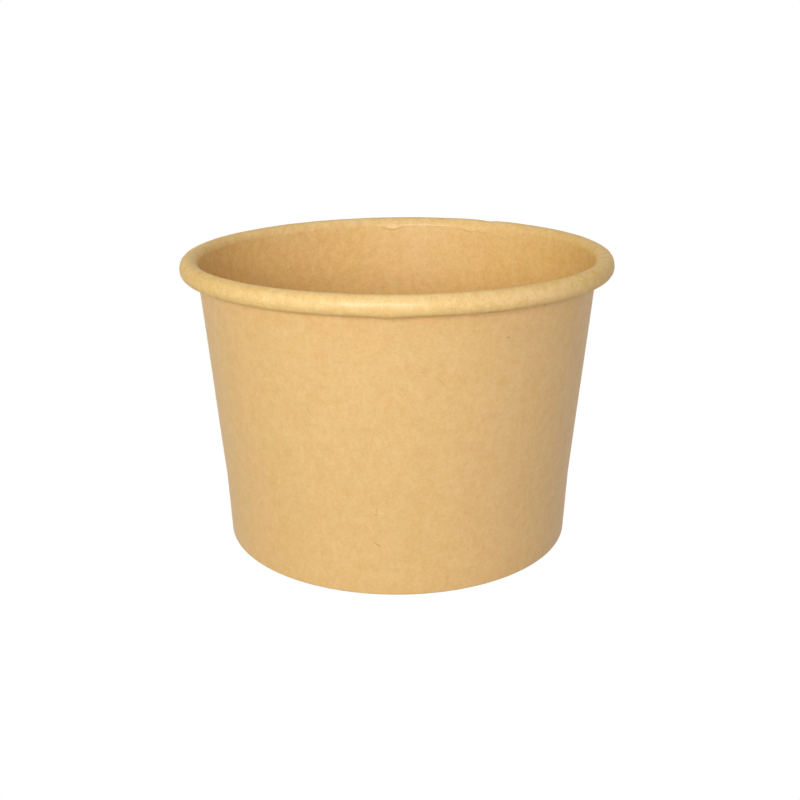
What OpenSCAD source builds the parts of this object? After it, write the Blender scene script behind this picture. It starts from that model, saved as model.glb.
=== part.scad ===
// Kraft paperboard portion cup.
// It is made of two pieces of board. The sidewall is one blank, lapped at a glued side seam, rolled
// outwards at the rim and folded in and up at the foot. The base is a disc whose skirt is turned
// down and held inside that fold, so that the cup stands on the fold and the base is recessed.
// Millimetres, +Z up. The origin is on the cup's axis, in the plane it stands on.

/* [Cup] */
// Diameter over the rolled rim
rim_d = 74; // [70:0.5:100]
// Height from the table to the top of the rim
cup_h = 50.2; // [40:0.2:90]
// Outside diameter at the table
foot_d = 60.9; // [50:0.1:64]

/* [Board] */
// Thickness of the sidewall's board
wall_t = 0.36; // [0.25:0.01:0.5]
// Thickness of the base's board
base_t = 0.32; // [0.2:0.01:0.45]
// Thickness of the sealing resin between the base's skirt and the board on each side of it
seal_t = 0.02; // [0.01:0.01:0.05]

/* [Side seam] */
// Width of the overlap, at the rim
seam_w = 6; // [4:0.5:10]
// Width in which the outer board steps down to the single wall beside the overlap, at the rim
step_w = 4; // [2:0.5:8]
// Direction of the overlap's inner edge from the axis, counter-clockwise from +X
seam_angle = 58.5; // [0:0.5:360]

/* [Rolled rim] */
// Diameter of the roll
roll_d = 3.2; // [2.8:0.1:4.5]
// Turn of the board's edge past the wall, up into the roll
tuck_angle = 60; // [0:5:120]
// Gap between the tucked edge and the wall
tuck_gap = 0.05; // [0.02:0.01:0.1]

/* [Foot] */
// Height of the band round the foot, which tapers less than the wall above it
band_h = 11; // [9.6:0.2:14]
// Taper of the band from upright, in degrees
band_taper = 2.6; // [0:0.1:5]
// Height of the hem folded up behind the base's skirt
hem_h = 5.6; // [3:0.1:6]
// Height of the base's upper face above the table
base_h = 7.4; // [6.8:0.1:9.4]
// Outside radius of the bend from the base into its skirt
base_bend_r = 0.9; // [0.6:0.1:1.2]

/* [Hidden] */
$fn = 180;

// Directions and step of the arcs that the sections are drawn with
arc_step = 12;
up = 90;
down = -90;
left = 180;

// Flat steps that the outer board takes beside the overlap, and the angle of each
step_count = 2;
step_turn = arc_angle(step_w / step_count);
seam_turn = arc_angle(seam_w);

// How far each sector of the sidewall runs into the one after it, in degrees, so that they are one
sector_lap = 0.2;

// Middle of the board in the roll, and the smaller arc that its tucked edge follows
roll_r = (roll_d - wall_t) / 2;
roll_centre = [(rim_d - roll_d) / 2, cup_h - roll_d / 2];
tuck_r = roll_r - wall_t - tuck_gap;

// Bend radius in the foot's fold, to the middle of the board, in thicknesses of the board
fold_bend = 0.7;
fold_r = fold_bend * wall_t;

// How deep the middle of each layer round the foot lies behind the band's outer face
wall_depth = wall_t / 2;
skirt_depth = wall_t + seal_t + base_t / 2;
hem_depth = wall_t + 2 * seal_t + base_t + wall_t / 2;

// The skirt's lower edge clears the fold where it holds two boards
skirt_z = 2 * wall_t + (fold_r - wall_t / 2) + seal_t;

// Angle that a width takes up round the rim
function arc_angle(width) = width / (rim_d / 2) * 180 / PI;

// Unit vector at an angle
function polar(angle) = [cos(angle), sin(angle)];

// Points of an arc, both ends included
function arc(centre, radius, from, to) =
    let (steps = max(1, ceil(abs(to - from) / arc_step)))
    [for (i = [0 : steps]) centre + radius * polar(from + (to - from) * i / steps)];

// Radius at a height, on the line that lies a depth behind the band's outer face
function band_r(z, depth) = foot_d / 2 + z * tan(band_taper) - depth / cos(band_taper);

// Unit normal on the left of the stretch from one point to the next
function normal(from, to) = [from[1] - to[1], to[0] - from[0]] / norm(to - from);

// Direction in which a point of a path moves to reach the parallel path 1 mm to its left
function mitre(path, i) =
    let (last = len(path) - 1,
         before = normal(path[max(i - 1, 0)], path[max(i, 1)]),
         after = normal(path[min(i, last - 1)], path[min(i + 1, last)]))
    (before + after) / (1 + before * after);

// Outline of a sheet between two parallels of a path, given by their distances to its left
function ribbon(path, right_side, left_side) = concat(
    [for (i = [0 : len(path) - 1]) path[i] + right_side * mitre(path, i)],
    [for (i = [len(path) - 1 : -1 : 0]) path[i] + left_side * mitre(path, i)]);

// Middle of the board round the foot's fold, whose underside lies a lift above the table
function fold_path(lift) =
    let (z = wall_t / 2 + lift + fold_r)
    concat(
        arc([band_r(z, hem_depth - fold_r), z], fold_r, -left - band_taper, down),
        arc([band_r(z, wall_depth + fold_r), z], fold_r, down, -band_taper));

// Direction in which the wall above the band rises, so that it runs smoothly into the roll
function wall_angle(band_top) =
    let (reach = roll_centre - band_top)
    atan2(reach[1], reach[0]) + asin(roll_r / norm(reach));

// Middle of the board round the roll, from the wall to the tucked edge
function tucked_roll(start) =
    let (tuck_centre = roll_centre - [0, roll_r - tuck_r],
         tuck = arc(tuck_centre, tuck_r, down, -left - tuck_angle))
    concat(
        arc(roll_centre, roll_r, start, down),
        [for (i = [1 : len(tuck) - 1]) tuck[i]]);

// The same at the overlap and beside it, where the edge isn't tucked and stops clear of both boards
function open_roll(start) =
    arc(roll_centre, roll_r, start,
        -left + acos((roll_r - 1.5 * wall_t - tuck_gap) / (roll_r + wall_t / 2)));

// Middle of the sidewall's inner board from the hem's edge to the roll's, where its fold is lifted
// off the table by the board outside it
function wall_path(lift, tucked = false) =
    let (band_top = [band_r(band_h, wall_depth), band_h],
         start = wall_angle(band_top) + up)
    concat(
        [[band_r(hem_h, hem_depth), hem_h]],
        fold_path(lift),
        [band_top],
        tucked ? tucked_roll(start) : open_roll(start));

// Middle of the base's board from the axis to the skirt's lower edge
function base_path() =
    let (bend_r = base_bend_r - base_t / 2,
         z = base_h - base_bend_r)
    concat(
        [[0, base_h - base_t / 2]],
        arc([band_r(z, skirt_depth + bend_r), z], bend_r, up, -band_taper),
        [[band_r(skirt_z, skirt_depth), skirt_z]]);

// Part of the turn of the sidewall with one section. The angles start at the inner board's edge.
module wall_sector(from, to, section) {
    rotate_extrude(angle = to - from + sector_lap, start = seam_angle + from)
        polygon(section);
}

// The single wall, from the last step right round to the overlap. Its roll opens beside both.
module single_wall() {
    from = step_count * step_turn;
    to = 360 - seam_turn;
    tucked = ribbon(wall_path(0, tucked = true), -wall_t / 2, wall_t / 2);
    opened = ribbon(wall_path(0), -wall_t / 2, wall_t / 2);
    wall_sector(from, from + step_turn, opened);
    wall_sector(from + step_turn, to - step_turn, tucked);
    wall_sector(to - step_turn, to, opened);
}

// Both boards, glued face to face
module overlap() {
    wall_sector(-seam_turn, 0,
        ribbon(wall_path(wall_t), -1.5 * wall_t, wall_t / 2));
}

// The outer board, coming down to the single wall past the inner board's edge
module step_down() {
    for (i = [0 : step_count - 1]) {
        outer = wall_t * (1 - (i + 0.5) / step_count);
        wall_sector(i * step_turn, (i + 1) * step_turn,
            ribbon(wall_path(outer), -outer - wall_t / 2, -outer + wall_t / 2));
    }
}

module sidewall() {
    color([0.90, 0.73, 0.48]) {
        single_wall();
        overlap();
        step_down();
    }
}

module base_disc() {
    color([0.86, 0.69, 0.45])
        rotate_extrude()
            polygon(ribbon(base_path(), -base_t / 2, base_t / 2));
}

sidewall();
base_disc();
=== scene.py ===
"""A kraft paperboard portion cup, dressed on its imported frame."""
import math

import bpy
import numpy as np
from mathutils import Matrix


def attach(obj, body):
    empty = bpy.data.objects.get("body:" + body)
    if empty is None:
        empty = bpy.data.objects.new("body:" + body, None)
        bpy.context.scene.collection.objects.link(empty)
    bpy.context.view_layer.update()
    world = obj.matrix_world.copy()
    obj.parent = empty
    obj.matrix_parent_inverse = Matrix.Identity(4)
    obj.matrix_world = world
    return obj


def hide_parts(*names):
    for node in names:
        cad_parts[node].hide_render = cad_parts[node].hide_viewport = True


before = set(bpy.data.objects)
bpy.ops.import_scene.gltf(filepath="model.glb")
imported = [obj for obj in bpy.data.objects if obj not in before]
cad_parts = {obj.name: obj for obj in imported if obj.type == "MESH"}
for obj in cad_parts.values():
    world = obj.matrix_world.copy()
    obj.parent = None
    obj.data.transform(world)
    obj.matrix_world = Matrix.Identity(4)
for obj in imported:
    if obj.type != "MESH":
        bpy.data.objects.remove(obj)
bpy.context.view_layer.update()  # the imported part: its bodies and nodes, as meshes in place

MM = 0.001

# The cup's sizes, in millimetres and degrees, as the part has them
RIM_R = 37.0
CUP_H = 50.2
FOOT_R = 30.45
WALL_T = 0.36
BASE_T = 0.32
SEAL_T = 0.02
ROLL_D = 3.2
TUCK_GAP = 0.05
BAND_H = 11.0
BAND_TAPER = 2.6
HEM_H = 5.6
BASE_H = 7.4
BASE_BEND_R = 0.9
SEAM_EDGE = 58.0
SEAM_W = 6.0
STEP_W = 4.0
GLUE_T = 0.012

# What the seam's clamp does to the glued edges: the shares of their thickness that they lose, in how
# many degrees, and how far it presses the outer board in beside the inner one's edge
INNER_CRUSH = 0.6
OUTER_CRUSH = 0.8
CRUSH_TURN = 2.4
PRESS_IN = 0.185

# How the rim leans and how it is out of flat, as shares of the cosine and the sine of one turn and of
# two, and how far its roll hangs down in front
RIM_LEAN = (0.198, -0.315)
RIM_WARP = (-0.071, 0.046)
FRONT_SAG = 0.2

# The camera's place and lens, from a fit to the cup's outline
CAMERA_AT = (0.46, -185.822, 85.933)
CAMERA_DOWN = 18.762
CAMERA_ROLL = 0.137
CAMERA_LENS = 48.991

# Creases inside the rim: direction from the axis, half width in degrees, height up the cup, how far
# the lip sags in its middle, how far it stands off the wall and how sharp its lower edge is
LIPS_ABOVE = 45.0
LIPS = [
    {"at": 91.5, "half_width": 6.5, "z": 48.75, "sag": 0.75, "height": 0.18, "edge": 0.07},
    {"at": 77.0, "half_width": 8.0, "z": 48.85, "sag": 0.2, "height": 0.06, "edge": 0.1},
    {"at": 64.5, "half_width": 6.5, "z": 48.6, "sag": 0.6, "height": 0.15, "edge": 0.09},
    {"at": 60.0, "half_width": 2.2, "z": 48.1, "sag": 0.2, "height": 0.12, "edge": 0.08},
    {"at": 52.5, "half_width": 6.0, "z": 47.5, "sag": 0.2, "height": 0.05, "edge": 0.3},
    {"at": 102.0, "half_width": 5.0, "z": 48.8, "sag": 0.1, "height": 0.04, "edge": 0.12},
]

# Single fibres and flecks that stand out, outside and inside: direction from the axis, height up
# the cup, length, width, slant in degrees and strength. The last one inside is painted shade: a
# darker patch in the recess beside the seam, where the outer board lies back from the inner one's
# edge.
OUTSIDE_MARKS = [
    (264.2, 9.0, 1.7, 0.15, -25, 0.65),
    (276.6, 38.0, 2.1, 0.15, -4, 0.3),
    (299.8, 42.3, 0.6, 0.26, 0, 0.6),
    (300.9, 41.8, 1.5, 0.09, -38, 0.25),
    (310.8, 29.9, 0.4, 0.2, 0, 0.6),
    (246.0, 30.8, 2.0, 0.2, -58, 0.4),
    (264.2, 15.2, 1.6, 0.12, 90, 0.3),
    (263.9, 14.35, 1.1, 0.14, 0, 0.4),
    (261.8, 14.1, 1.4, 0.1, 0, 0.22),
    (250.8, 25.0, 1.5, 0.11, -3, 0.25),
    (269.6, 41.3, 0.5, 0.25, 0, 0.3),
]
INSIDE_MARKS_AND_SEAM_SHADE = [
    (129.7, 41.8, 2.5, 0.17, -31, 0.6),
    (96.0, 36.5, 0.9, 0.1, 70, 0.35),
    # Painted shade in the recess beside the seam's edge
    (60.6, 45.8, 5.0, 4.6, 90, 0.045),
]

SEAM_TURN = math.degrees(SEAM_W / RIM_R)
STEP_TURN = math.degrees(STEP_W / RIM_R)
BLANK_R = (RIM_R + FOOT_R) / 2
ROLL_R = (ROLL_D - WALL_T) / 2
ROLL_AT = np.array([RIM_R - ROLL_D / 2, CUP_H - ROLL_D / 2])
TUCK_R = ROLL_R - WALL_T - TUCK_GAP
FOLD_R = 0.7 * WALL_T
WALL_DEPTH = WALL_T / 2
SKIRT_DEPTH = WALL_T + SEAL_T + BASE_T / 2
HEM_DEPTH = WALL_T + 2 * SEAL_T + BASE_T + WALL_T / 2

# Points of the wall's section that lie on the band and the wall, up to the roll
WALL_ROWS = slice(17, 51)

# Colours of the board's faces and of its cut edge
OUTSIDE_TONE = (0.84, 0.539, 0.213)
# The inside's tone is partly the coated face's own colour and partly painted light: it is set lighter
# to make up for the dimmer light inside the cup.
INSIDE_TONE = (0.878, 0.586, 0.213)
EDGE_TONE = (0.86, 0.62, 0.34)

# Height that the lamps face
LAMPS_AIM = 25


# Camera

def make_camera():
    data = bpy.data.cameras.new("camera")
    data.sensor_width = 36.0
    data.lens = CAMERA_LENS
    data.clip_start = 0.01
    data.clip_end = 20.0
    camera = bpy.data.objects.new("camera", data)
    bpy.context.scene.collection.objects.link(camera)
    place = Matrix.Translation([c * MM for c in CAMERA_AT])
    tilt = Matrix.Rotation(math.radians(90 - CAMERA_DOWN), 4, "X")
    roll = Matrix.Rotation(math.radians(-CAMERA_ROLL), 4, "Z")
    camera.matrix_world = place @ tilt @ roll
    bpy.context.scene.camera = camera


# Sections of the board, in the plane of the axis

def smooth(low, high, value):
    """0 below low, 1 above high and a smooth rise between them."""
    x = np.clip((value - low) / (high - low), 0, 1)
    return x * x * (3 - 2 * x)


def hump(value, centre, width):
    """1 at a centre, falling off to both sides of it."""
    return np.exp(-(((value - centre) / width) ** 2))


def arc(centre, radius, start, end, count):
    """Points of an arc, without its first one."""
    turn = np.radians(np.linspace(start, end, count + 1)[1:])
    return centre + radius * np.stack([np.cos(turn), np.sin(turn)], 1)


def line(start, end, count):
    """Points of a line, without its first one."""
    share = np.linspace(0, 1, count + 1)[1:, None]
    return start + (np.asarray(end) - start) * share


def band_r(z, depth):
    """Radius at a height on the line that lies a depth behind the band's outer face."""
    slope = math.radians(BAND_TAPER)
    return FOOT_R + z * math.tan(slope) - depth / math.cos(slope)


def left_normal(path):
    """Unit normal on the left of a path, at each of its points."""
    along = np.gradient(path, axis=0)
    along /= np.linalg.norm(along, axis=1)[:, None]
    return np.stack([-along[:, 1], along[:, 0]], 1)


def wall_section(outer, lift, lapped):
    """Middle of the sidewall's board, from the hem's edge to the roll's, at one place of its turn.

    outer is how far the board lies outside the single wall's place, lift is how far another board
    holds it off the table, and lapped is 1 where another board leaves no room for the tuck.
    """
    z = WALL_T / 2 + lift + FOLD_R
    hem_top = np.array([band_r(HEM_H, HEM_DEPTH), HEM_H])
    fold_in = np.array([band_r(z, HEM_DEPTH - FOLD_R), z])
    fold_out = np.array([band_r(z, WALL_DEPTH + FOLD_R), z])
    band_top = np.array([band_r(BAND_H, WALL_DEPTH), BAND_H])
    reach = ROLL_AT - band_top
    rise = math.degrees(math.atan2(reach[1], reach[0]) + math.asin(ROLL_R / np.linalg.norm(reach)))
    path = [hem_top[None]]

    def add(points):
        path.append(points)

    def end():
        return path[-1][-1]

    add(line(end(), fold_in + arc(0, FOLD_R, 0, -180 - BAND_TAPER, 1)[0], 5))
    add(arc(fold_in, FOLD_R, -180 - BAND_TAPER, -90, 5))
    add(line(end(), fold_out - [0, FOLD_R], 2))
    add(arc(fold_out, FOLD_R, -90, -BAND_TAPER, 5))
    add(line(end(), band_top, 5))
    roll_start = ROLL_AT + arc(0, ROLL_R, 0, rise + 90, 1)[0]
    add(line(end(), end() + (roll_start - end()) * 0.87, 9))
    add(line(end(), end() + (roll_start - end()) * 0.4, 3))
    add(line(end(), roll_start, 16))
    add(arc(ROLL_AT, ROLL_R, rise + 90, -90, 28))
    tuck_r = TUCK_R + (ROLL_R - TUCK_R) * lapped
    add(arc(ROLL_AT - [0, ROLL_R - tuck_r], tuck_r, -90, -240 + 118 * lapped, 9))
    path = full_roll(np.concatenate(path))
    return path - left_normal(path) * outer


def full_roll(path):
    """Presses the roll of a section a little flat in front and full at its lower corner."""
    away = path - ROLL_AT
    around = np.degrees(np.arctan2(away[:, 1], away[:, 0]))
    swell = 0.07 * hump(around, -50, 26) - 0.07 * hump(around, 13, 25)
    near = 1 - smooth(ROLL_R, ROLL_R + 0.3, np.hypot(away[:, 0], away[:, 1]))
    return path + away * (swell * near)[:, None]


def base_section():
    """Middle of the base's board, from beside the axis to the skirt's lower edge."""
    bend_r = BASE_BEND_R - BASE_T / 2
    z = BASE_H - BASE_BEND_R
    skirt_z = 2 * WALL_T + FOLD_R - WALL_T / 2 + SEAL_T
    bend = np.array([band_r(z, SKIRT_DEPTH + bend_r), z])
    path = [np.array([[0.004, BASE_H - BASE_T / 2]])]
    path.append(line(path[-1][-1], bend + [0, bend_r], 34))
    path.append(arc(bend, bend_r, 90, -BAND_TAPER, 8))
    path.append(line(path[-1][-1], [band_r(skirt_z, SKIRT_DEPTH), skirt_z], 6))
    return np.concatenate(path)


def length_along(path):
    """Distance along a path of each of its points."""
    return np.concatenate([[0], np.cumsum(np.linalg.norm(np.diff(path, axis=0), axis=1))])


def board_place(degrees, height):
    """Place on the flat blank, in millimetres, of a point of the wall."""
    section = wall_section(0, 0, 0)
    along = np.interp(height, section[WALL_ROWS, 1], length_along(section)[WALL_ROWS])
    return math.radians(degrees) * BLANK_R, float(along)


# Small departures of the real board from its true form

def ripple(turn, waves, seed):
    """A smooth value round the cup that repeats after a full turn, about 1 at most."""
    random = np.random.default_rng(seed)
    value = np.zeros_like(turn)
    for count in waves:
        value += random.uniform(0.5, 1) * np.cos(count * turn + random.uniform(0, 2 * np.pi))
    return value / (0.75 * len(waves))


def bump_at(turn, centre, half_width):
    """1 at an angle in degrees and 0 beyond a half width from it."""
    away = np.abs((np.degrees(turn) - centre + 180) % 360 - 180)
    return 1 - smooth(0, half_width, away)


def settle(points, turn):
    """Moves points of the sidewall as its board has set, and gives them back."""
    x, y, z = points[..., 0], points[..., 1], points[..., 2]
    true_z = z
    height = np.clip(z / CUP_H, 0, 1)
    lean = RIM_LEAN[0] * np.cos(turn) + RIM_LEAN[1] * np.sin(turn)
    z = z + height * (lean + RIM_WARP[0] * np.cos(2 * turn) + RIM_WARP[1] * np.sin(2 * turn))

    # Slow waves in the wall, and finer ones in the roll
    middle = smooth(0.1, 0.45, height) * (1 - smooth(0.8, 0.97, height))
    push = middle * 0.05 * ripple(turn + 0.02 * z, (3, 5, 8), 4)
    roll = smooth(46.8, 47.6, true_z)
    push = push + roll * 0.02 * ripple(turn, (17, 29, 43, 61), 7)
    z = z + roll * 0.02 * ripple(turn, (11, 23, 37), 9)

    # The roll's lower edge hangs a little at the front
    lower = (1 - smooth(47.2, 49.6, true_z)) * smooth(34.8, 35.6, np.hypot(x, y))
    z = z - FRONT_SAG * lower * bump_at(turn, -91.6, 5.5)

    # The creases inside, where the wall turns into the roll, with a lip that hangs over the wall
    for lip in LIPS:
        lip_z = lip["z"] - lip["sag"] * bump_at(turn, lip["at"], lip["half_width"] * 0.8)
        over = true_z - lip_z
        shape = smooth(-lip["edge"], lip["edge"], over) * np.exp(-np.maximum(over, 0) / 0.55)
        here = bump_at(turn, lip["at"], lip["half_width"])
        push = push - lip["height"] * shape * here * (true_z > LIPS_ABOVE)

    radius = np.hypot(x, y)
    grow = (radius + push) / radius
    return np.stack([x * grow, y * grow, z], -1)


# Meshes

def sheet_mesh(name, inside, outside, closed, flat):
    """A sheet of board from two grids of points, its inside face and its outside face.

    The grids run round the cup and then along the section. A closed sheet meets itself round the
    cup. flat holds the place on the flat board, in millimetres, of each column and row. Faces get
    material 0 outside, 1 inside and 2 on the cut edges.
    """
    columns, rows = inside.shape[:2]
    points = np.concatenate([inside, outside[:, ::-1]], 1) * MM
    ring = 2 * rows
    vertex = np.arange(columns * ring).reshape(columns, ring)
    if closed:
        vertex = np.concatenate([vertex, vertex[:1]])
    here, there = vertex[:-1], vertex[1:]
    after = np.roll(vertex, -1, 1)
    quads = np.stack([here, there, after[1:], after[:-1]], -1)
    count = quads.shape[0]
    kind = np.full(ring, 1)
    kind[rows - 1] = 2
    kind[rows:2 * rows - 1] = 0
    kind[2 * rows - 1] = 2
    kinds = np.tile(kind, (count, 1))
    row_of = np.concatenate([np.arange(rows), np.arange(rows)[::-1]])
    row_after = np.roll(row_of, -1)
    column = np.arange(count)[:, None] * np.ones(ring, int)
    rows_here = np.tile(row_of, (count, 1))
    rows_after = np.tile(row_after, (count, 1))
    corners = [
        (column, rows_here), (column + 1, rows_here),
        (column + 1, rows_after), (column, rows_after),
    ]
    places = np.stack([flat(c, r) for c, r in corners], 2)
    faces = quads.reshape(-1, 4)
    kinds = kinds.ravel()
    places = places.reshape(-1, 4, 2)

    if not closed:
        for end in (0, columns - 1):
            left = vertex[end, :rows - 1]
            near = vertex[end, 1:rows]
            far = vertex[end, ring - 2:rows - 1:-1]
            right = vertex[end, ring - 1:rows:-1]
            cap = np.stack([left, near, far, right] if end == 0 else [left, right, far, near], -1)
            spot = np.stack([flat(np.full(rows - 1, end), np.arange(rows - 1))] * 4, 1)
            faces = np.concatenate([faces, cap])
            kinds = np.concatenate([kinds, np.full(rows - 1, 2)])
            places = np.concatenate([places, spot])

    mesh = bpy.data.meshes.new(name)
    mesh.from_pydata(points.reshape(-1, 3).tolist(), [], faces.tolist())
    mesh.polygons.foreach_set("material_index", kinds.astype(np.int32))
    layer = mesh.uv_layers.new(name="board")
    layer.uv.foreach_set("vector", places.astype(np.float32).ravel())
    mesh.polygons.foreach_set("use_smooth", np.ones(len(faces), bool))
    mesh.update()
    piece = bpy.data.objects.new(name, mesh)
    bpy.context.scene.collection.objects.link(piece)
    return piece


def round_sections(turns, sections, sides):
    """Points of sections placed at turns round the axis, moved to one side by half the board."""
    points = []
    for turn, section, side in zip(turns, sections, sides):
        flat = section + left_normal(section) * side
        radius = flat[:, 0]
        points.append(np.stack([radius * np.cos(turn), radius * np.sin(turn), flat[:, 1]], 1))
    return np.array(points)


def make_sidewall():
    """One blank, from its outer raw edge round to its inner one, which it overlaps."""
    first = SEAM_EDGE - SEAM_TURN
    last = SEAM_EDGE + 360
    # The mesh's columns up to each direction. They lie closer at the seam, at the creases inside and
    # where the roll hangs down in front.
    spans = [
        (first + 3, 10), (SEAM_EDGE, 22), (SEAM_EDGE + 0.02, 1), (SEAM_EDGE + 1, 7), (106, 96),
        (255, 148), (275, 40), (last - 10, 130), (last - 0.04, 36), (last, 1),
    ]
    degrees = [np.array([first])]
    for stop, count in spans:
        degrees.append(np.linspace(degrees[-1][-1], stop, count + 1)[1:])
    degrees = np.concatenate(degrees)
    columns = len(degrees)
    beside = 1 - smooth(SEAM_EDGE, SEAM_EDGE + STEP_TURN, degrees)
    outer = (WALL_T + GLUE_T) * beside
    # The clamp presses the outer board up against the inner one's edge
    outer = outer - PRESS_IN * ((degrees > SEAM_EDGE + 0.01) * beside)
    inner = smooth(last - SEAM_TURN - STEP_TURN, last - SEAM_TURN, degrees)
    lift = outer + (WALL_T + GLUE_T) * inner
    lapped = np.maximum(beside, inner)
    sections = [wall_section(*values) for values in zip(outer, lift, lapped)]
    turns = np.radians(degrees)
    around = turns[:, None]
    # It crushes the glued edges thin too
    crushed_in = 1 - INNER_CRUSH * smooth(last - CRUSH_TURN, last, degrees)
    crushed_out = 1 - OUTER_CRUSH * (1 - smooth(first, first + CRUSH_TURN, degrees))
    inside = round_sections(turns, sections, WALL_T / 2 * crushed_in)
    outside = round_sections(turns, sections, -WALL_T / 2 * crushed_out)
    inside = settle(inside, around)
    outside = settle(outside, around)
    single = sections[columns // 2]
    along = length_along(single)
    across = turns * BLANK_R

    def flat(column, row):
        return np.stack([across[column], along[row]], -1)

    piece = sheet_mesh("sidewall_board", inside, outside, False, flat)
    for material in (KRAFT_OUTSIDE, KRAFT_INSIDE, CUT_EDGE):
        piece.data.materials.append(material)
    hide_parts("sidewall")
    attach(piece, "root")


def make_base():
    """The pressed base, slightly dished, with small puckers where its skirt turns down."""
    columns = 300
    section = base_section()
    turns = np.linspace(0, 2 * np.pi, columns, endpoint=False)
    sections = [section] * columns
    along = length_along(section)

    def press(points):
        radius = np.hypot(points[..., 0], points[..., 1])
        around = turns[:, None]
        dish = -0.22 * (1 - smooth(6, 27, radius))
        puckers = smooth(26.5, 29.2, radius) * (1 - smooth(29.4, 30.1, radius))
        wave = ripple(around, (31, 44, 57, 73), 21)
        return points + np.stack([0 * radius, 0 * radius, dish + 0.03 * puckers * wave], -1)

    inside = press(round_sections(turns, sections, np.full(columns, BASE_T / 2)))
    outside = press(round_sections(turns, sections, np.full(columns, -BASE_T / 2)))

    def flat(column, row):
        turn = 2 * np.pi * column / columns
        return np.stack([along[row] * np.cos(turn) + 300, along[row] * np.sin(turn)], -1)

    piece = sheet_mesh("base_board", inside, outside, True, flat)
    for material in (KRAFT_OUTSIDE, KRAFT_INSIDE, CUT_EDGE):
        piece.data.materials.append(material)
    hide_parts("base_disc")
    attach(piece, "root")


# Materials

class Graph:
    """Adds nodes to one node tree. An input is a socket to link or a value to set."""

    def __init__(self, tree):
        self.tree = tree
        tree.nodes.clear()

    def node(self, kind, inputs=(), **settings):
        node = self.tree.nodes.new(kind)
        for name, value in settings.items():
            setattr(node, name, value)
        for name, value in dict(inputs).items():
            if isinstance(value, bpy.types.NodeSocket):
                self.tree.links.new(value, node.inputs[name])
            else:
                node.inputs[name].default_value = value
        return node

    def math(self, operation, *values):
        return self.node("ShaderNodeMath", enumerate(values), operation=operation).outputs[0]

    def vector(self, operation, *values):
        return self.node("ShaderNodeVectorMath", enumerate(values), operation=operation).outputs[0]

    def noise(self, place, scale, detail=2.0, roughness=0.5):
        inputs = {"Vector": place, "Scale": scale, "Detail": detail, "Roughness": roughness}
        return self.node("ShaderNodeTexNoise", inputs, noise_dimensions="2D").outputs[0]

    def rise(self, value, low, high, to_low=0.0, to_high=1.0):
        inputs = {
            "Value": value, "From Min": low, "From Max": high, "To Min": to_low, "To Max": to_high,
        }
        return self.node("ShaderNodeMapRange", inputs, interpolation_type="SMOOTHSTEP").outputs[0]

    def swing(self, value, size):
        """A noise, which lies about 0.5, as a value about 0 of about a size."""
        return self.math("MULTIPLY", self.math("SUBTRACT", value, 0.5), 4 * size)

    def mix(self, share, a, b):
        inputs = {"Factor": share, "A": a, "B": b}
        node = self.tree.nodes.new("ShaderNodeMix")
        node.data_type = "RGBA"
        for name, value in inputs.items():
            socket = next(s for s in node.inputs if s.name == name and s.enabled)
            if isinstance(value, bpy.types.NodeSocket):
                self.tree.links.new(value, socket)
            else:
                socket.default_value = value
        return next(s for s in node.outputs if s.enabled)


def fibres(g, place, cell, length, width, share, seed):
    """A mask of short bent hairs, one at most in each cell of the board, in millimetres."""
    moved = g.vector("ADD", place, (seed * 37.3, seed * 11.7, 0))
    inputs = {"Vector": moved, "Scale": 1 / cell}
    cells = g.node("ShaderNodeTexVoronoi", inputs, voronoi_dimensions="2D")
    chance = g.node("ShaderNodeSeparateColor", {"Color": cells.outputs["Color"]})
    angle = g.math("MULTIPLY", chance.outputs[0], math.pi)
    centre = cells.outputs["Position"]
    inputs = {"Vector": moved, "Center": centre, "Angle": angle}
    turned = g.node("ShaderNodeVectorRotate", inputs, rotation_type="Z_AXIS").outputs[0]
    local = g.node("ShaderNodeSeparateXYZ", {0: g.vector("SUBTRACT", turned, centre)})
    x, y = local.outputs[0], local.outputs[1]
    bend = g.math("MULTIPLY", g.math("SUBTRACT", chance.outputs[1], 0.5), 0.9 / length)
    bowed = g.math("ADD", y, g.math("MULTIPLY", bend, g.math("MULTIPLY", x, x)))
    across = g.rise(g.math("ABSOLUTE", bowed), width * 0.25, width, 1.0, 0.0)
    along = g.rise(g.math("ABSOLUTE", x), length * 0.3, length * 0.5, 1.0, 0.0)
    present = g.math("LESS_THAN", chance.outputs[2], share)
    return g.math("MULTIPLY", g.math("MULTIPLY", across, along), present)


def specks(g, place, cell, radius, share, seed):
    """A mask of small dots, one at most in each cell of the board, in millimetres."""
    moved = g.vector("ADD", place, (seed * 53.1, seed * 7.9, 0))
    inputs = {"Vector": moved, "Scale": 1 / cell}
    cells = g.node("ShaderNodeTexVoronoi", inputs, voronoi_dimensions="2D")
    chance = g.node("ShaderNodeSeparateColor", {"Color": cells.outputs["Color"]})
    dot = g.rise(cells.outputs["Distance"], radius / cell * 0.4, radius / cell, 1.0, 0.0)
    return g.math("MULTIPLY", dot, g.math("LESS_THAN", chance.outputs[0], share))


def mark(g, flat, degrees, height, length, width, slant):
    """A mask of one stroke at a place of the wall: a single hair of the board, or a patch of painted
    shade.
    """
    u, v = board_place(degrees, height)
    inputs = {"Vector": flat, "Center": (u, v, 0), "Angle": math.radians(-slant)}
    turned = g.node("ShaderNodeVectorRotate", inputs, rotation_type="Z_AXIS").outputs[0]
    local = g.node("ShaderNodeSeparateXYZ", {0: g.vector("SUBTRACT", turned, (u, v, 0))})
    across = g.rise(g.math("ABSOLUTE", local.outputs[1]), width * 0.1, width * 0.6, 1.0, 0.0)
    along = g.rise(g.math("ABSOLUTE", local.outputs[0]), length * 0.15, length * 0.5, 1.0, 0.0)
    return g.math("MULTIPLY", across, along)


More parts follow.
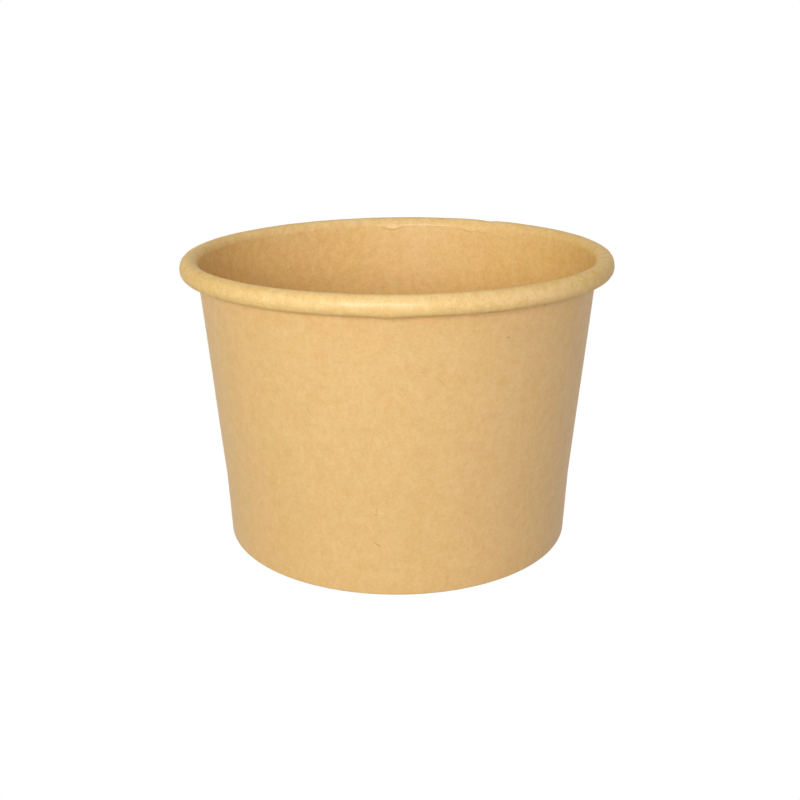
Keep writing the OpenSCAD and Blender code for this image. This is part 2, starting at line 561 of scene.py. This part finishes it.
def kraft(name, tone, roughness, relief, gloss, gloss_edge,
          coat=0.0, hairs=1.0, depth_share=1.0, marks_and_shade=()):
    """Unbleached board: clouds of pulp, grain, dark and pale fibres and specks of bark.

    relief is the height of its grain in millimetres, and gloss and gloss_edge are its shine seen
    straight on and at a low angle. hairs and depth_share scale its fibres and its clouds. The listed
    single fibres, and any listed patch of painted shade, are drawn in darker.
    """
    material = bpy.data.materials.new(name)
    material.use_nodes = True
    g = Graph(material.node_tree)
    flat = g.node("ShaderNodeUVMap", uv_map="board").outputs[0]
    inputs = {"Vector": flat, "Scale": 0.7, "Detail": 1.0}
    wander = g.node("ShaderNodeTexNoise", inputs, noise_dimensions="2D").outputs[1]
    offset = g.vector("SUBTRACT", wander, (0.5, 0.5, 0.5))
    place = g.vector("ADD", flat, g.vector("MULTIPLY", offset, (0.6, 0.6, 0)))

    # Depth of brown at four sizes, with patches that lean towards green or rose
    grain = g.noise(flat, 4.2, 1.0)
    pulp = g.noise(place, 1.6, 1.0)
    depth = g.math("ADD", g.swing(grain, 0.1 * depth_share), g.swing(pulp, 0.078 * depth_share))
    depth = g.math("ADD", depth, g.swing(g.noise(place, 0.6, 1.0), 0.08 * depth_share))
    depth = g.math("ADD", depth, g.swing(g.noise(place, 0.2, 1.0), 0.042))
    inputs = {"Vector": place, "Scale": 0.55}
    patches = g.node("ShaderNodeTexVoronoi", inputs, voronoi_dimensions="2D").outputs["Color"]
    lean = g.node("ShaderNodeSeparateColor", {"Color": patches})
    changes = (
        (depth, (0.23, 0.46, 1.0)),
        (g.swing(lean.outputs[0], 0.006), (0.46, 0.7, -0.53)),
        (g.swing(lean.outputs[1], 0.006), (0.82, -0.57, 0)),
    )
    share = (1, 1, 1)
    for value, change in changes:
        inputs = {0: change, "Scale": value}
        part = g.node("ShaderNodeVectorMath", inputs, operation="SCALE").outputs[0]
        share = g.vector("ADD", part, share)
    colour = g.vector("MULTIPLY", share, tone)

    def both(one, other):
        """Fibres of two kinds: size of the cells, length, width, share of the cells and seed."""
        return g.math("ADD", fibres(g, place, *one), fibres(g, place, *other))

    long_hairs = fibres(g, place, 6.5, 1.9, 0.075, 0.55, 1)
    dark_hairs = both((2.7, 1.3, 0.055, 0.4, 2), (2.1, 0.9, 0.05, 0.4, 9))
    short_hairs = both((0.95, 0.6, 0.045, 0.5, 3), (0.8, 0.5, 0.04, 0.5, 4))
    pale_hairs = both((1.3, 1.0, 0.06, 0.6, 5), (1.8, 1.4, 0.07, 0.5, 6))
    bark = g.math("ADD", specks(g, place, 7.0, 0.11, 0.35, 7), specks(g, place, 3.4, 0.07, 0.3, 8))
    red, green, blue = tone
    dark = (red * 0.62, green * 0.45, blue * 0.3, 1)
    straw = (min(red * 1.1, 1), min(green * 1.16, 1), min(blue * 1.3, 1), 1)
    colour = g.mix(g.math("MULTIPLY", pale_hairs, 0.14 * hairs), colour, straw)
    colour = g.mix(g.math("MULTIPLY", short_hairs, 0.1 * hairs), colour, dark)
    colour = g.mix(g.math("MULTIPLY", dark_hairs, 0.15 * hairs), colour, dark)
    colour = g.mix(g.math("MULTIPLY", long_hairs, 0.24 * hairs), colour, dark)
    colour = g.mix(g.math("MULTIPLY", bark, 0.35 * hairs), colour, dark)

    # Painted darker: the listed single fibres of the board, and painted shade where a patch of it is
    # listed
    for degrees, up, length, width, slant, strength in marks_and_shade:
        fibre_and_seam_shade = g.math("MULTIPLY", mark(g, place, degrees, up, length, width, slant), strength)
        colour = g.mix(fibre_and_seam_shade, colour, (red * 0.3, green * 0.24, blue * 0.22, 1))

    height = g.math("ADD", pulp, g.math("MULTIPLY", grain, 0.5))
    height = g.math("ADD", height, g.math("MULTIPLY", g.math("ADD", pale_hairs, dark_hairs), 0.2))
    inputs = {"Strength": 1.0, "Distance": relief * MM, "Height": height}
    bump = g.node("ShaderNodeBump", inputs).outputs[0]
    rough = g.math("ADD", roughness, g.swing(pulp, 0.03))
    # The fibres break up the gloss where the board is seen at a low angle
    edge_on = g.node("ShaderNodeLayerWeight", {"Blend": 0.5}).outputs["Facing"]
    inputs = {
        "Base Color": colour, "Roughness": rough, "Normal": bump, "IOR": 1.46,
        "Specular IOR Level": g.rise(edge_on, 0.15, 0.6, gloss, gloss_edge),
        "Coat Roughness": 0.24, "Coat Normal": bump,
    }
    if coat:
        inputs["Coat Weight"] = g.rise(edge_on, 0.15, 0.6, coat, coat * 0.1)
    shader = g.node("ShaderNodeBsdfPrincipled", inputs)
    g.node("ShaderNodeOutputMaterial", {"Surface": shader.outputs[0]})
    return material


# Stage, light and the order of the work

def seen_rays(g):
    """1 for rays that show the background itself, straight, in a gloss or through glass."""
    rays = g.node("ShaderNodeLightPath")
    straight = g.math("MAXIMUM", rays.outputs["Is Camera Ray"], rays.outputs["Is Glossy Ray"])
    return g.math("MAXIMUM", straight, rays.outputs["Is Transmission Ray"])


def make_floor():
    """A plain pale floor. It looks white, and keeps the cup's shadow."""
    mesh = bpy.data.meshes.new("floor")
    side = 3.0
    corners = [(-side, -side, 0), (side, -side, 0), (side, side, 0), (-side, side, 0)]
    mesh.from_pydata(corners, [], [(0, 1, 2, 3)])
    floor = bpy.data.objects.new("floor", mesh)
    bpy.context.scene.collection.objects.link(floor)
    material = bpy.data.materials.new("floor")
    material.use_nodes = True
    g = Graph(material.node_tree)
    paper = g.node("ShaderNodeBsdfDiffuse", {"Color": (0.44, 0.44, 0.44, 1)}).outputs[0]
    shade = g.node("ShaderNodeBsdfDiffuse", {"Color": (0.9, 0.9, 0.9, 1)}).outputs[0]
    white = g.node("ShaderNodeEmission", {"Color": (1, 1, 1, 1), "Strength": 1.0}).outputs[0]
    place = g.node("ShaderNodeNewGeometry").outputs["Position"]
    share = g.rise(g.vector("LENGTH", place), 0.05, 0.2, 0.8, 1.0)
    seen = g.node("ShaderNodeMixShader", {0: share, 1: shade, 2: white}).outputs[0]
    surface = g.node("ShaderNodeMixShader", {0: seen_rays(g), 1: paper, 2: seen}).outputs[0]
    g.node("ShaderNodeOutputMaterial", {"Surface": surface})
    mesh.materials.append(material)


def make_world():
    world = bpy.data.worlds.new("studio")
    bpy.context.scene.world = world
    world.use_nodes = True
    g = Graph(world.node_tree)
    room = g.node("ShaderNodeBackground", {"Color": (1, 1, 1, 1), "Strength": 0.08}).outputs[0]
    white = g.node("ShaderNodeBackground", {"Color": (1, 1, 1, 1), "Strength": 1.0}).outputs[0]
    seen = g.node("ShaderNodeMixShader", {0: seen_rays(g), 1: room, 2: white}).outputs[0]
    g.node("ShaderNodeOutputWorld", {"Surface": seen})


def make_lamp(name, azimuth, elevation, distance, width, height, level, tint=(1, 1, 1)):
    """A soft box that faces the cup. Azimuth 0 is the camera's side, and it grows to the right."""
    data = bpy.data.lights.new(name, "AREA")
    data.shape = "RECTANGLE"
    data.size = width
    data.size_y = height
    data.energy = level * math.pi * distance ** 2
    data.color = tint
    lamp = bpy.data.objects.new(name, data)
    bpy.context.scene.collection.objects.link(lamp)
    turn = Matrix.Rotation(math.radians(azimuth), 4, "Z")
    tip = Matrix.Rotation(math.radians(90 - elevation), 4, "X")
    aim = Matrix.Translation((0, 0, LAMPS_AIM * MM))
    lamp.matrix_world = aim @ turn @ tip @ Matrix.Translation((0, 0, distance))


make_camera()
bpy.context.scene.view_settings.view_transform = "Standard"
KRAFT_OUTSIDE = kraft("kraft_outside", OUTSIDE_TONE, 0.5, 0.012, 0.45, 0.4, marks_and_shade=OUTSIDE_MARKS)
KRAFT_INSIDE = kraft("kraft_inside", INSIDE_TONE, 0.52, 0.01, 0.62, 0.1,
                     coat=0.4, hairs=0.8, depth_share=1.5, marks_and_shade=INSIDE_MARKS_AND_SEAM_SHADE)
CUT_EDGE = kraft("kraft_cut_edge", EDGE_TONE, 0.85, 0.03, 0.3, 0.2)
make_sidewall()
make_base()
make_floor()
make_world()
make_lamp("key", -10, 19, 0.45, 0.30, 0.12, 1.53)
make_lamp("top", -10, 60, 0.45, 0.30, 0.30, 0.44)
make_lamp("left", -40, 18, 0.45, 0.30, 0.25, 0.50)
make_lamp("far_left", -75, 12, 0.45, 0.30, 0.20, 0.28)
make_lamp("right", 20, 8, 0.45, 0.30, 0.15, 0.20)
make_lamp("window", 65, 16, 0.45, 0.30, 0.30, 0.60, (0.70, 0.69, 1.0))
make_lamp("back", 180, 60, 0.50, 0.40, 0.40, 0.72)
